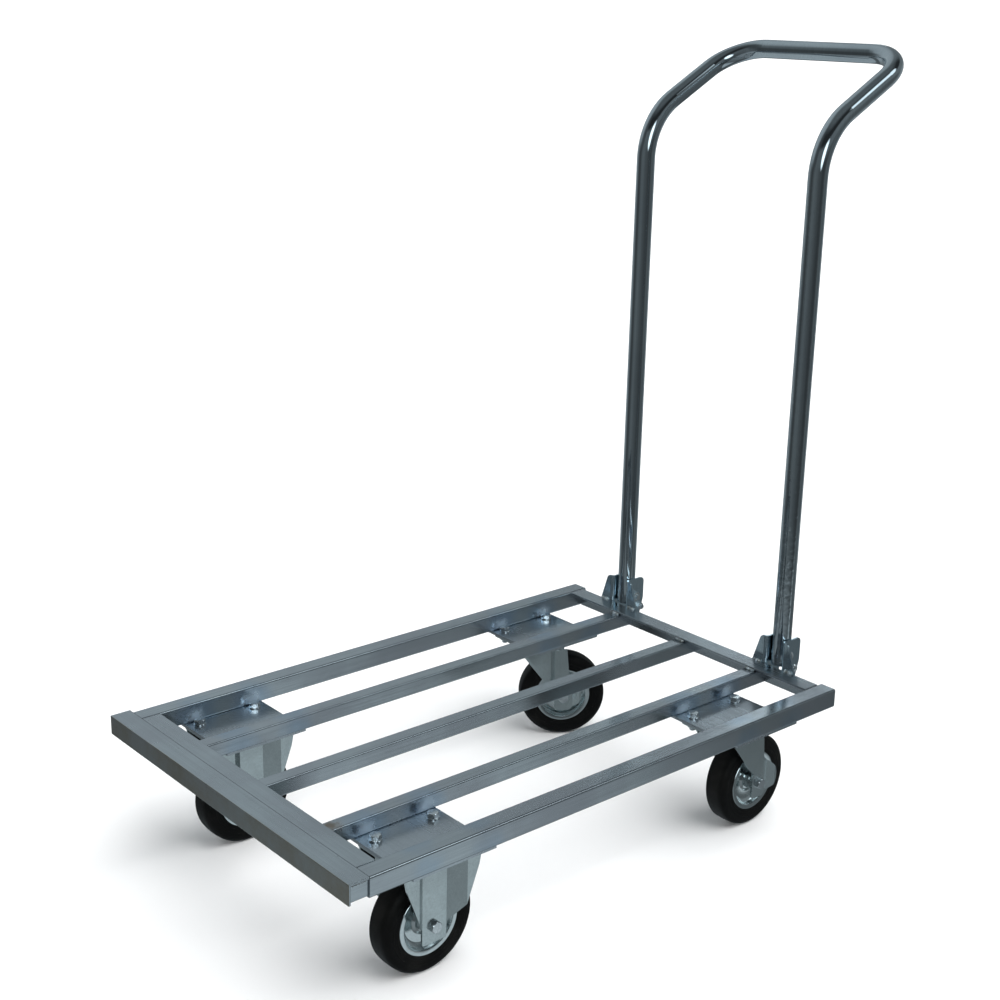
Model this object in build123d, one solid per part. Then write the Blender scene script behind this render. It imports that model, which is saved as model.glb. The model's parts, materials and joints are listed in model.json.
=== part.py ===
from build123d import *
import os
from math import cos, radians, sin, sqrt, tan

# Folding platform cart. Millimetres, +Z up, floor at z = 0, +X towards the handle.
# The origin is on the floor below the middle of the whole cart's box.

os.makedirs("parts", exist_ok=True)

# Platform frame: square tubes between two angle-section cross members
platform_length = 750.0
platform_width = 500.0
rail_size = 25.0
rail_wall = 2.0
rail_corner = 2.5
slat_size = 20.0
slat_wall = 1.5
slat_corner = 2.0
slat_pitch = 130.0
angle_leg = 25.0
angle_thickness = 3.0
rear_angle_inset = 6.0

# Pull-out front bar: an angle section on two square tubes that slide in the side rails
bumper_depth = 27.0
bumper_gap = 1.4
bumper_height = 25.0
bumper_thickness = 3.0
bumper_rise = 2.4
bumper_overhang = 2.6
slide_clearance = 0.3
slide_bar_wall = 1.5
slide_bar_length = 400.0
slide_travel = 250.0
bumper_bead_width = 3.0
stop_screw_diameter = 6.0
stop_screw_head_diameter = 11.0
stop_screw_head_height = 2.6
stop_screw_setback = 30.0
stop_screw_reach = 1.0

# Handle: one bent round tube on two pivot bolts
handle_diameter = 25.0
handle_wall = 1.5
handle_spacing = 297.0
handle_knee_height = 701.0
handle_setback = 170.0
handle_rise = 93.0
handle_knee_radius = 90.0
handle_corner_radius = 58.0
handle_tail = 13.0
handle_deck_gap = 1.0

# Handle brackets: pressed sheet welded to the rear cross member
bracket_sheet = 2.5
bracket_bend_radius = 5.0
bracket_tube_gap = 0.4
bracket_top = 39.0
bracket_drop = 24.0
bracket_top_width = 47.0
bracket_foot_width = 72.0
bracket_cheek_depth = 36.0
bracket_cheek_foot = 28.0
bracket_web_top = -2.0
bracket_corner = 7.0
pivot_diameter = 8.0
pivot_clearance = 0.1
dome_head_diameter = 16.0
dome_head_height = 3.0
tie_bolt_diameter = 6.0
tie_bolt_drop = 18.5
tie_bolt_clearance = 1.0

# Casters
wheel_diameter = 125.0
caster_headroom = 30.0
mount_washer_gap = 1.0
front_caster_setback = 115.0
rear_caster_setback = 129.0
caster_trail = 35.0
rear_left_yaw = -34.0
rear_right_yaw = 1.5
caster_plate_length = 110.0
caster_plate_width = 82.0
caster_plate_thickness = 3.0
caster_plate_corner = 10.0
bolt_spacing_x = 80.0
bolt_spacing_y = 60.0
mount_plate_thickness = 4.0
mount_plate_length = 114.0
mount_plate_margin = 3.0

# M8 fasteners that hold the casters and the wheels
bolt_diameter = 8.0
bolt_hole = 9.0
hex_across_flats = 13.0
hex_head_height = 5.3
nut_height = 6.5
washer_diameter = 16.0
washer_thickness = 1.6
bolt_tail = 4.5

# Fork legs of the casters
fork_sheet = 2.5
fork_panel_offset = 25.0
fixed_flank_offset = 41.0
fixed_panel_half_width = 17.0
fixed_top_inset = 5.0
fixed_taper_inset = 17.0
fork_foot = 20.0
swivel_flank_offset = 33.0
swivel_panel_half_width = 13.5
crown_radius = 41.0
crown_thickness = 3.0
crown_drop = 12.0
shoulder_depth = 16.5
strap_front_inset = 6.0
strap_rear_inset = 3.0
strap_throat_setback = 34.0
strap_throat_rise = 34.0
strap_neck_rise = 14.0
strap_corner = 6.0
lobe_radius = 25.5
lobe_rise = 8.0

# Swivel bearing between top plate and fork crown
race_ring_radius = 33.0
race_ring_bore = 20.0
race_ring_height = 4.0
ball_diameter = 6.0
ball_circle_radius = 26.0
ball_count = 20
ball_gap = 0.1
ball_seat = 0.6
race_gap = 0.3
king_pin_diameter = 12.0
king_pin_head_diameter = 22.0
king_pin_head_height = 4.0
king_pin_clearance = 0.1
crown_play = 0.3

# Wheel
tyre_width = 34.0
tyre_crown_width = 14.0
tyre_shoulder_drop = 9.0
tyre_round = 6.0
tyre_bead_width = 31.6
tyre_bead_chamfer = 1.5
rim_lip_radius = 40.2
rim_lip_bore = 34.0
rim_lip_width = 30.4
rim_bed_radius = 37.4
rim_bed_width = 26.0
rim_sheet = 2.0
rim_split = 0.4
rim_dish_width = 10.0
rim_dish_depth = 9.0
rim_step_depth = 6.0
rim_slope = 1.5
tyre_gap = 0.2
hub_radius = 12.0
hub_wall = 2.0
hub_length = 41.0
axle_sleeve_diameter = 12.0
axle_end_play = 0.1
axle_fit = 0.05
roller_count = 12
roller_gap = 0.1
roller_length = 32.0
cage_thickness = 2.0

# Levels and places that follow from the sizes above
caster_height = wheel_diameter + caster_headroom
deck_top = caster_height + mount_plate_thickness + rail_size
rail_bottom = deck_top - rail_size
mount_bottom = rail_bottom - mount_plate_thickness
caster_plate_bottom = mount_bottom - caster_plate_thickness
axle_height = wheel_diameter / 2
handle_radius = handle_diameter / 2
handle_setoff = bracket_sheet + bracket_tube_gap + handle_radius
bumper_reach = bumper_depth + bumper_gap
handle_reach = platform_length - rear_angle_inset + handle_setoff + handle_setback + handle_radius
front_x = (bumper_reach - handle_reach) / 2
rear_x = front_x + platform_length
rear_face_x = rear_x - rear_angle_inset
handle_x = rear_face_x + handle_setoff
handle_y = handle_spacing / 2
pivot_z = deck_top + handle_radius + handle_deck_gap
knee_z = deck_top + handle_knee_height
grip_z = knee_z + handle_rise
rail_y = platform_width / 2 - rail_size / 2
rail_inside = platform_width / 2 - rail_size
caster_offset = rail_inside - mount_washer_gap - washer_diameter / 2 - bolt_spacing_y / 2
front_caster_x = front_x + front_caster_setback
rear_caster_x = rear_x - rear_caster_setback
slide_bar_size = rail_size - 2 * rail_wall - 2 * slide_clearance
slide_bar_bottom = rail_bottom + rail_wall + slide_clearance
bumper_front_x = front_x - bumper_reach
stop_screw_x = front_x + stop_screw_setback
tail_swing = sqrt(handle_tail**2 + handle_radius**2)
tie_bolt_reach = tail_swing + tie_bolt_clearance + tie_bolt_diameter / 2
tie_x = handle_x + sqrt(tie_bolt_reach**2 - tie_bolt_drop**2)
tie_z = pivot_z - tie_bolt_drop
fork_inside = fork_panel_offset - fork_sheet


def square_tube(length, size, wall, corner):
    """A square tube along +X from x = 0, centred on y = 0, resting on z = 0."""
    outside = RectangleRounded(size, size, corner)
    inside = RectangleRounded(size - 2 * wall, size - 2 * wall, max(corner - wall, wall / 4))
    profile = Plane.YZ * (outside - inside)
    return Pos(0, 0, size / 2) * extrude(profile, amount=length)


def prism_along_y(points, y_low, y_high):
    """The solid that a closed outline of (x, z) points sweeps from y_low to y_high."""
    outline = Polyline([(x, y_low, z) for x, z in points], close=True)
    return extrude(make_face(outline), amount=y_high - y_low, dir=(0, 1, 0))


def angle_section(x_toe, x_heel, top, height, thickness, y_half):
    """An angle bar along Y with its flat leg on top and its upright leg at x_heel."""
    inward = 1 if x_toe > x_heel else -1
    points = [
        (x_toe, top),
        (x_heel, top),
        (x_heel, top - height),
        (x_heel + inward * thickness, top - height),
        (x_heel + inward * thickness, top - thickness),
        (x_toe, top - thickness),
    ]
    return prism_along_y(points, -y_half, y_half)


def cylinder_z(x, y, z_low, z_high, radius):
    """An upright cylinder between two levels."""
    middle = (z_low + z_high) / 2
    return Pos(x, y, middle) * Cylinder(radius, z_high - z_low)


def cylinder_y(x, z, y_low, y_high, radius):
    """A cylinder along Y between two places."""
    middle = (y_low + y_high) / 2
    return Pos(x, middle, z) * Rot(90, 0, 0) * Cylinder(radius, y_high - y_low)


def hexagon_z(x, y, z_low, height, across_flats):
    """An upright hexagonal prism."""
    sketch = Pos(x, y, z_low) * RegularPolygon(across_flats / 2, 6, major_radius=False)
    return extrude(sketch, amount=height, dir=(0, 0, 1))


def hexagon_y(x, z, y_low, height, across_flats):
    """A hexagonal prism along Y."""
    upright = hexagon_z(0, 0, 0, height, across_flats)
    return Pos(x, y_low, z) * Rot(-90, 0, 0) * upright


def dome_head_y(x, z, y_seat, side, diameter, height):
    """A low domed bolt head on a seat at y_seat, standing out towards side (+1 or -1)."""
    radius = diameter / 2
    sphere_radius = (radius**2 + height**2) / (2 * height)
    ball = Pos(x, y_seat + side * (height - sphere_radius), z) * Sphere(sphere_radius)
    reach = side * height
    slab = cylinder_y(x, z, min(y_seat, y_seat + reach), max(y_seat, y_seat + reach), radius)
    return ball & slab


# Platform frame


def side_rail(side):
    """One side rail, with the hole for the screw that stops the sliding bar."""
    rail = Pos(front_x, side * rail_y, rail_bottom)
    rail = rail * square_tube(platform_length, rail_size, rail_wall, rail_corner)
    hole_radius = stop_screw_diameter / 2
    top = rail_bottom + rail_wall + slide_clearance / 2
    return rail - cylinder_z(stop_screw_x, side * rail_y, rail_bottom - 1, top, hole_radius)


def slat(y):
    """One inner tube, level with the rails' undersides, butted between the cross members."""
    start = front_x + angle_thickness
    length = platform_length - rear_angle_inset - 2 * angle_thickness
    return Pos(start, y, rail_bottom) * square_tube(length, slat_size, slat_wall, slat_corner)


def cross_angles():
    """Front and rear cross members, flush with the rail tops."""
    front = angle_section(front_x + angle_leg, front_x, deck_top, rail_size, angle_thickness, rail_inside)
    rear_toe = rear_face_x - angle_leg
    rear = angle_section(rear_toe, rear_face_x, deck_top, rail_size, angle_thickness, rail_inside)
    return front, rear


def bolt_places(x, y):
    """The four bolt positions of one caster."""
    half_x = bolt_spacing_x / 2
    half_y = bolt_spacing_y / 2
    return [(x + i * half_x, y + j * half_y) for i in (-1, 1) for j in (-1, 1)]


def drilled(plate, places, z_low, z_high):
    """The plate with a bolt hole at each place."""
    for x, y in places:
        plate -= cylinder_z(x, y, z_low - 1, z_high + 1, bolt_hole / 2)
    return plate


def mount_plate(x, side):
    """The plate welded under a side rail and the slat beside it."""
    outer = platform_width / 2 - mount_plate_margin
    inner = slat_pitch - slat_size / 2 + mount_plate_margin
    middle = side * (outer + inner) / 2
    plate = Pos(x, middle, rail_bottom - mount_plate_thickness / 2)
    plate = plate * Box(mount_plate_length, outer - inner, mount_plate_thickness)
    return drilled(plate, bolt_places(x, side * caster_offset), mount_bottom, rail_bottom)


# Handle and its brackets


def bracket_plan(side):
    """One wing, its bend and its cheek in plan, from the bracket's middle line outwards."""
    inner = handle_radius + bracket_tube_gap
    wing_start = inner + bracket_bend_radius
    wing_end = bracket_foot_width / 2
    cheek_start = bracket_bend_radius
    centre = (bracket_bend_radius, side * wing_start)
    wing_middle = side * (wing_start + wing_end) / 2
    wing = Pos(bracket_sheet / 2, wing_middle) * Rectangle(bracket_sheet, wing_end - wing_start)
    cheek_length = bracket_cheek_depth - cheek_start
    cheek_middle = (cheek_start + bracket_cheek_depth) / 2
    cheek = Pos(cheek_middle, side * (inner + bracket_sheet / 2)) * Rectangle(cheek_length, bracket_sheet)
    ring = Circle(bracket_bend_radius) - Circle(bracket_bend_radius - bracket_sheet)
    quadrant = Pos(-bracket_bend_radius / 2, -side * bracket_bend_radius / 2)
    bend = ring & (quadrant * Rectangle(bracket_bend_radius, bracket_bend_radius))
    return wing + cheek + Pos(*centre) * bend


def handle_bracket(side):
    """A bracket with two wings, two cheeks beside the handle tube and a web below the deck top."""
    bottom = deck_top - bracket_drop
    height = bracket_top + bracket_drop
    y = side * handle_y
    plan = bracket_plan(1) + bracket_plan(-1)
    folded = extrude(Pos(rear_face_x, y, bottom) * plan, amount=height, dir=(0, 0, 1))
    web_half = handle_radius + bracket_tube_gap + bracket_bend_radius
    web_height = bracket_web_top + bracket_drop
    web = Pos(rear_face_x + bracket_sheet / 2, y, bottom + web_height / 2)
    folded += web * Box(bracket_sheet, 2 * web_half, web_height)
    top = deck_top + bracket_top
    foot = bracket_foot_width / 2
    head = bracket_top_width / 2
    front_outline = Polyline(
        [
            (rear_face_x - 1, y - foot, bottom),
            (rear_face_x - 1, y - foot, deck_top),
            (rear_face_x - 1, y - head, top),
            (rear_face_x - 1, y + head, top),
            (rear_face_x - 1, y + foot, deck_top),
            (rear_face_x - 1, y + foot, bottom),
        ],
        close=True,
    )
    front_cut = extrude(make_face(front_outline), amount=bracket_cheek_depth + 2, dir=(1, 0, 0))
    top_corners = front_cut.edges().filter_by(Axis.X).group_by(Axis.Z)[-1]
    front_cut = fillet(top_corners, bracket_corner)
    side_outline = [
        (rear_face_x - 1, bottom),
        (rear_face_x + bracket_cheek_foot, bottom),
        (rear_face_x + bracket_cheek_depth, deck_top + bracket_corner),
        (rear_face_x + bracket_cheek_depth, top),
        (rear_face_x - 1, top),
    ]
    side_cut = prism_along_y(side_outline, y - foot - 1, y + foot + 1)
    rear_corner = side_cut.edges().filter_by(Axis.Y).group_by(Axis.Z)[-1].sort_by(Axis.X)[-1]
    side_cut = fillet(rear_corner, bracket_corner)
    shaped = folded & front_cut & side_cut
    pivot_hole = cylinder_y(handle_x, pivot_z, y - foot, y + foot, pivot_diameter / 2)
    tie_hole = cylinder_y(tie_x, tie_z, y - foot, y + foot, tie_bolt_diameter / 2)
    return shaped - pivot_hole - tie_hole


def cross_bolt(side, x, z, diameter, nut):
    """A dome-headed bolt through a bracket's cheeks, head outside and tail past the nut."""
    cheek_face = handle_radius + bracket_tube_gap + bracket_sheet
    y = side * handle_y
    seat = y + side * cheek_face
    tail = y - side * (cheek_face + nut + diameter / 2)
    shank = cylinder_y(x, z, min(seat, tail), max(seat, tail), diameter / 2)
    head_diameter = dome_head_diameter * diameter / pivot_diameter
    return shank + dome_head_y(x, z, seat, side, head_diameter, dome_head_height)


def cross_nut(side, x, z, diameter, across_flats, height):
    """The nut on a cross bolt, against the cheek that faces the middle of the cart."""
    cheek_face = handle_radius + bracket_tube_gap + bracket_sheet
    seat = side * (handle_y - cheek_face)
    y_low = seat - height if side > 0 else seat
    nut = hexagon_y(x, z, y_low, height, across_flats)
    return nut - cylinder_y(x, z, y_low - 1, y_low + height + 1, diameter / 2)


def handle_tube():
    """The handle: two uprights, two arms leaning back and a cross grip, bent from one tube."""
    foot_z = pivot_z - handle_tail
    grip_x = handle_x + handle_setback
    corners = [
        (handle_x, handle_y, foot_z),
        (handle_x, handle_y, knee_z),
        (grip_x, handle_y, grip_z),
        (grip_x, -handle_y, grip_z),
        (handle_x, -handle_y, knee_z),
        (handle_x, -handle_y, foot_z),
    ]
    radii = [handle_knee_radius, handle_corner_radius, handle_corner_radius, handle_knee_radius]
    path = FilletPolyline(*corners, radius=radii)
    start = Plane(origin=corners[0], z_dir=(0, 0, 1))
    outer = sweep(start * Circle(handle_radius), path=path)
    inner = sweep(start * Circle(handle_radius - handle_wall), path=path)
    tube = outer - inner
    hole_radius = pivot_diameter / 2 + pivot_clearance
    for side in (-1, 1):
        y = side * handle_y
        tube -= cylinder_y(handle_x, pivot_z, y - handle_diameter, y + handle_diameter, hole_radius)
    return tube


# Pull-out front bar


def bumper_angle():
    """The front angle bar, standing a little proud of the deck and wider than the frame."""
    toe = front_x - bumper_gap
    top = deck_top + bumper_rise
    y_half = platform_width / 2 + bumper_overhang
    return angle_section(toe, bumper_front_x, top, bumper_height, bumper_thickness, y_half)


def slide_bar(side):
    """A square tube that slides in a side rail, slotted underneath for the stop screw."""
    start = bumper_front_x + bumper_thickness
    corner = max(rail_corner - rail_wall, slide_bar_wall / 2) + slide_clearance
    bar = square_tube(slide_bar_length, slide_bar_size, slide_bar_wall, corner)
    bar = Pos(start, side * rail_y, slide_bar_bottom) * bar
    width = stop_screw_diameter + 2 * slide_clearance
    length = slide_travel + width
    middle = stop_screw_x + slide_travel / 2
    slot = Pos(middle, side * rail_y, slide_bar_bottom - 1) * SlotOverall(length, width)
    return bar - extrude(slot, amount=slide_bar_wall + 2, dir=(0, 0, 1))


def bumper_beads():
    """The weld beads that fill the gap between the front angle and the sliding bars."""
    bar_top = slide_bar_bottom + slide_bar_size
    angle_underside = deck_top + bumper_rise - bumper_thickness
    start = bumper_front_x + bumper_thickness
    length = bumper_depth - bumper_thickness
    beads = []
    for side in (-1, 1):
        for edge in (-1, 1):
            y = side * rail_y + edge * (slide_bar_size - bumper_bead_width) / 2
            place = Pos(start + length / 2, y, (bar_top + angle_underside) / 2)
            beads.append(place * Box(length, bumper_bead_width, angle_underside - bar_top))
    return beads


def stop_screw(side):
    """The screw under a rail whose end runs in the sliding bar's slot."""
    y = side * rail_y
    head_radius = stop_screw_head_diameter / 2
    head = cylinder_z(stop_screw_x, y, rail_bottom - stop_screw_head_height, rail_bottom, head_radius)
    shank_top = slide_bar_bottom + slide_bar_wall + stop_screw_reach
    shank = cylinder_z(stop_screw_x, y, rail_bottom - 1, shank_top, stop_screw_diameter / 2)
    return head + shank


# Fasteners of the casters


def mount_bolt(x, y):
    """A hexagon bolt through washer, mount plate, caster plate and nut, head on top."""
    seat = rail_bottom + washer_thickness
    tail = caster_plate_bottom - nut_height - bolt_tail
    head = hexagon_z(x, y, seat, hex_head_height, hex_across_flats)
    return head + cylinder_z(x, y, tail, seat, bolt_diameter / 2)


def mount_washer(x, y):
    """The flat washer under a bolt head."""
    seat = rail_bottom + washer_thickness
    disc = cylinder_z(x, y, rail_bottom, seat, washer_diameter / 2)
    return disc - cylinder_z(x, y, rail_bottom - 1, seat + 1, bolt_hole / 2)


def mount_nut(x, y):
    """The nut under a caster plate."""
    low = caster_plate_bottom - nut_height
    nut = hexagon_z(x, y, low, nut_height, hex_across_flats)
    return nut - cylinder_z(x, y, low - 1, caster_plate_bottom + 1, bolt_diameter / 2)


# Forks, each built about its own middle at x = y = 0


def leg_section(flank, half_panel, x_low, x_high):
    """Plan of a pressed leg: a flat panel set in between two flanks by 45 degree slopes."""
    depth = flank - fork_panel_offset
    turn = fork_sheet * tan(radians(22.5))
    rise = half_panel + depth
    outer = [
        (x_low, flank),
        (-rise, flank),
        (-half_panel, fork_panel_offset),
        (half_panel, fork_panel_offset),
        (rise, flank),
        (x_high, flank),
    ]
    inner = [
        (x_high, flank - fork_sheet),
        (rise + turn, flank - fork_sheet),
        (half_panel + turn, fork_inside),
        (-half_panel - turn, fork_inside),
        (-rise - turn, flank - fork_sheet),
        (x_low, flank - fork_sheet),
    ]
    return make_face(Polyline(outer + inner, close=True))


def axle_hole(x):
    """The hole through both legs for the axle bolt."""
    return cylinder_y(x, axle_height, -caster_plate_width, caster_plate_width, bolt_diameter / 2)


def fixed_fork():
    """A rigid fork: top plate and two tapering pressed legs."""
    half_length = caster_plate_length / 2
    foot_z = axle_height - fork_foot
    panel = fixed_panel_half_width
    flank_inner = panel + fixed_flank_offset - fork_panel_offset
    plate = Pos(0, 0, mount_bottom - caster_plate_thickness / 2)
    plate = plate * Box(caster_plate_length, 2 * fixed_flank_offset, caster_plate_thickness)
    plan = leg_section(fixed_flank_offset, panel, -half_length, half_length)
    leg = extrude(Pos(0, 0, foot_z) * plan, amount=caster_plate_bottom - foot_z, dir=(0, 0, 1))
    leg_height = caster_plate_bottom - axle_height
    taper_low = axle_height + leg_height / 4
    half_outline = [
        (half_length, mount_bottom),
        (half_length - fixed_top_inset, caster_plate_bottom - leg_height / 4),
        (max(flank_inner, half_length - fixed_top_inset - fixed_taper_inset), taper_low),
        (panel, axle_height),
        (panel, foot_z),
    ]
    mirrored = [(-x, z) for x, z in reversed(half_outline)]
    outline = prism_along_y(half_outline + mirrored, 0, 2 * fixed_flank_offset)
    foot_corners = outline.edges().filter_by(Axis.Y).group_by(Axis.Z)[0]
    outline = fillet(foot_corners, fork_sheet)
    leg = leg & outline
    fork = plate + leg + mirror(leg, about=Plane.XZ)
    fork = drilled(fork, bolt_places(0, 0), caster_plate_bottom, mount_bottom)
    return fork - axle_hole(0)


def swivel_plate():
    """The fixed top plate of a swivel caster, with the upper race ring and the pin hole."""
    plate = extrude(
        Pos(0, 0, caster_plate_bottom)
        * RectangleRounded(caster_plate_length, caster_plate_width, caster_plate_corner),
        amount=caster_plate_thickness,
        dir=(0, 0, 1),
    )
    ring_bottom = caster_plate_bottom - race_ring_height
    ring = cylinder_z(0, 0, ring_bottom, caster_plate_bottom, race_ring_radius)
    ring -= cylinder_z(0, 0, ring_bottom - 1, caster_plate_bottom, race_ring_bore)
    groove = Pos(0, 0, ball_centre_z()) * Torus(ball_circle_radius, ball_diameter / 2 + race_gap)
    plate = plate + ring - groove
    plate -= cylinder_z(0, 0, caster_plate_bottom - 1, mount_bottom + 1, king_pin_diameter / 2)
    return drilled(plate, bolt_places(0, 0), caster_plate_bottom, mount_bottom)


def crown_top_z():
    """Level of the fork crown's upper face."""
    return mount_bottom - crown_drop


def ball_centre_z():
    """Level of the balls, which rest in the crown's groove."""
    return crown_top_z() + ball_diameter / 2 - ball_seat


def king_pin():
    """The pin that holds the fork crown to the plate."""
    head_top = crown_top_z() - crown_thickness - crown_play
    pin = cylinder_z(0, 0, head_top - king_pin_head_height, mount_bottom, king_pin_diameter / 2)
    head_bottom = head_top - king_pin_head_height
    return pin + cylinder_z(0, 0, head_bottom, head_top, king_pin_head_diameter / 2)


def swivel_leg_outline():
    """Side view of a swivel leg: a strap that narrows to the axle, with a round lobe behind it."""
    panel = swivel_panel_half_width
    foot_z = axle_height - fork_foot
    points = [
        (strap_front_inset - crown_radius, crown_top_z()),
        (caster_trail - strap_throat_setback, axle_height + strap_throat_rise),
        (caster_trail - panel, axle_height + strap_neck_rise),
        (caster_trail - panel, foot_z),
        (caster_trail + panel, foot_z),
        (crown_radius - strap_rear_inset, crown_top_z()),
    ]
    y_reach = 2 * swivel_flank_offset
    strap = prism_along_y(points, 0, y_reach)
    foot_corners = strap.edges().filter_by(Axis.Y).group_by(Axis.Z)[0]
    strap = fillet(foot_corners, strap_corner)
    lobe_z = axle_height + lobe_rise
    lobe = cylinder_y(caster_trail, lobe_z, 0, y_reach, lobe_radius)
    behind = Pos(caster_trail + lobe_radius, y_reach / 2, lobe_z)
    lobe &= behind * Box(2 * lobe_radius, y_reach, 2 * lobe_radius)
    return strap + lobe


def swivel_fork():
    """A swivel fork: a round crown and two legs that lean back to the axle."""
    crown_top = crown_top_z()
    reach = crown_radius + caster_trail
    plan = leg_section(swivel_flank_offset, swivel_panel_half_width, -reach, reach)
    foot_z = axle_height - fork_foot
    leg = extrude(Pos(caster_trail, 0, foot_z) * plan, amount=crown_top - foot_z, dir=(0, 0, 1))
    leg &= swivel_leg_outline()
    crown = cylinder_z(0, 0, crown_top - crown_thickness, crown_top, crown_radius)
    crown &= Pos(0, 0, crown_top) * Box(2 * crown_radius, 2 * swivel_flank_offset, 4 * crown_thickness)
    fork = crown + leg + mirror(leg, about=Plane.XZ)
    shoulder_low = mount_bottom - shoulder_depth
    shoulder = cylinder_z(0, 0, shoulder_low, crown_top + 1, 2 * reach)
    shoulder -= cylinder_z(0, 0, shoulder_low - 1, crown_top + 2, crown_radius)
    fork -= shoulder
    pin_radius = king_pin_diameter / 2 + king_pin_clearance
    fork -= cylinder_z(0, 0, crown_top - 2 * crown_thickness, crown_top + 1, pin_radius)
    fork -= Pos(0, 0, ball_centre_z()) * Torus(ball_circle_radius, ball_diameter / 2)
    return fork - axle_hole(caster_trail)


def bearing_balls():
    """The ring of balls between the race ring and the crown."""
    balls = []
    for i in range(ball_count):
        turn = radians(360 * i / ball_count)
        x = ball_circle_radius * cos(turn)
        y = ball_circle_radius * sin(turn)
        balls.append(Pos(x, y, ball_centre_z()) * Sphere(ball_diameter / 2 - ball_gap))
    return balls


# Axle and wheel, each built about the wheel's middle


def wheel_place():
    """Lifts a wheel piece from the origin to axle height."""
    return Pos(0, 0, axle_height)


def axle_bolt():
    """The hexagon bolt through the fork, head on the right-hand side."""
    seat = fork_panel_offset
    tail = seat + nut_height + bolt_tail
    shank = cylinder_y(0, 0, -seat, tail, bolt_diameter / 2)
    head = hexagon_y(0, 0, -seat - hex_head_height, hex_head_height, hex_across_flats)
    return wheel_place() * (shank + head)


def axle_nut():
    """The nut on the axle bolt."""
    nut = hexagon_y(0, 0, fork_panel_offset, nut_height, hex_across_flats)
    nut -= cylinder_y(0, 0, fork_panel_offset - 1, fork_panel_offset + nut_height + 1, bolt_diameter / 2)
    return wheel_place() * nut


def axle_sleeve():
    """The steel sleeve that the legs clamp and the rollers run on."""
    half = fork_inside
    sleeve = cylinder_y(0, 0, -half, half, axle_sleeve_diameter / 2)
    return wheel_place() * (sleeve - cylinder_y(0, 0, -half - 1, half + 1, bolt_diameter / 2))


def turned(points):
    """A solid turned about the wheel's axis from a closed outline of (radius, y) points."""
    return revolve(make_face(Polyline(points, close=True)), axis=Axis.Y)


def tyre():
    """The solid rubber tyre, with a flat tread and round shoulders."""
    radius = wheel_diameter / 2
    shoulder = radius - tyre_shoulder_drop
    seat = rim_lip_radius + tyre_gap
    bed = rim_bed_width / 2 - tyre_gap
    bead = tyre_bead_width / 2
    half_outline = [
        (rim_bed_radius + tyre_gap, bed),
        (seat, bed),
        (seat, bead - tyre_bead_chamfer),
        (seat + tyre_bead_chamfer, bead),
        (shoulder, tyre_width / 2),
        (radius, tyre_crown_width / 2),
    ]
    mirrored = [(r, -y) for r, y in reversed(half_outline)]
    face = make_face(Polyline(half_outline + mirrored, close=True))
    round_corners = [v for v in face.vertices() if v.X > shoulder - tyre_gap]
    face = fillet(round_corners, tyre_round)
    return wheel_place() * revolve(face, axis=Axis.Y)


def rim():
    """Two pressed steel discs, back to back, on a hub tube."""
    lip = rim_lip_width / 2
    bed = rim_bed_width / 2
    hub = hub_radius + axle_fit
    sheet = rim_sheet
    half = rim_split / 2
    valley = (rim_lip_bore + hub_radius) / 2
    valley_outer = valley + rim_dish_width / 2
    valley_inner = valley - rim_dish_width / 2
    floor = lip - rim_dish_depth
    step = lip - rim_step_depth
    outside = [
        (rim_bed_radius, bed),
        (rim_lip_radius, bed),
        (rim_lip_radius, lip),
        (rim_lip_bore, lip),
        (rim_lip_bore - rim_slope, step),
        (valley_outer, floor),
        (valley_inner, floor),
        (hub, step),
    ]
    inside = [
        (hub, step - sheet),
        (valley_inner, floor - sheet),
        (valley_outer, floor - sheet),
        (rim_lip_bore, step - sheet),
        (rim_bed_radius - sheet, bed - sheet),
        (rim_bed_radius - sheet, half),
        (rim_bed_radius, half),
    ]
    disc = turned(outside + inside)
    hub_half = hub_length / 2
    hub_tube = cylinder_y(0, 0, -hub_half, hub_half, hub_radius)
    hub_tube -= cylinder_y(0, 0, -hub_half - 1, hub_half + 1, hub_radius - hub_wall)
    return [wheel_place() * piece for piece in (disc, mirror(disc, about=Plane.XZ), hub_tube)]


def roller_bearing():
    """Rollers between the sleeve and the hub tube, with a cage ring at each end."""
    sleeve_radius = axle_sleeve_diameter / 2
    bore_radius = hub_radius - hub_wall
    circle = (sleeve_radius + bore_radius) / 2
    radius = (bore_radius - sleeve_radius) / 2 - roller_gap
    half = roller_length / 2
    pieces = []
    for i in range(roller_count):
        turn = radians(360 * i / roller_count)
        pieces.append(cylinder_y(circle * cos(turn), circle * sin(turn), -half, half, radius))
    for low in (-half - cage_thickness - roller_gap, half + roller_gap):
        ring = cylinder_y(0, 0, low, low + cage_thickness, bore_radius - roller_gap)
        ring -= cylinder_y(0, 0, low - 1, low + cage_thickness + 1, sleeve_radius + roller_gap)
        pieces.append(ring)
    return [wheel_place() * piece for piece in pieces]


# Assembly


def as_list(shape):
    """A shape as a list of its solids."""
    if isinstance(shape, list):
        return shape
    return [shape]


def placed(place, shape):
    """Each solid of a shape, moved to its place."""
    return [place * piece for piece in as_list(shape)]


nodes = {}
nodes["left_side_rail"] = side_rail(1)
nodes["right_side_rail"] = side_rail(-1)
nodes["left_slat"] = slat(slat_pitch)
nodes["middle_slat"] = slat(0)
nodes["right_slat"] = slat(-slat_pitch)
nodes["front_cross_angle"], nodes["rear_cross_angle"] = cross_angles()
nodes["left_handle_bracket"] = handle_bracket(1)
nodes["right_handle_bracket"] = handle_bracket(-1)

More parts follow.
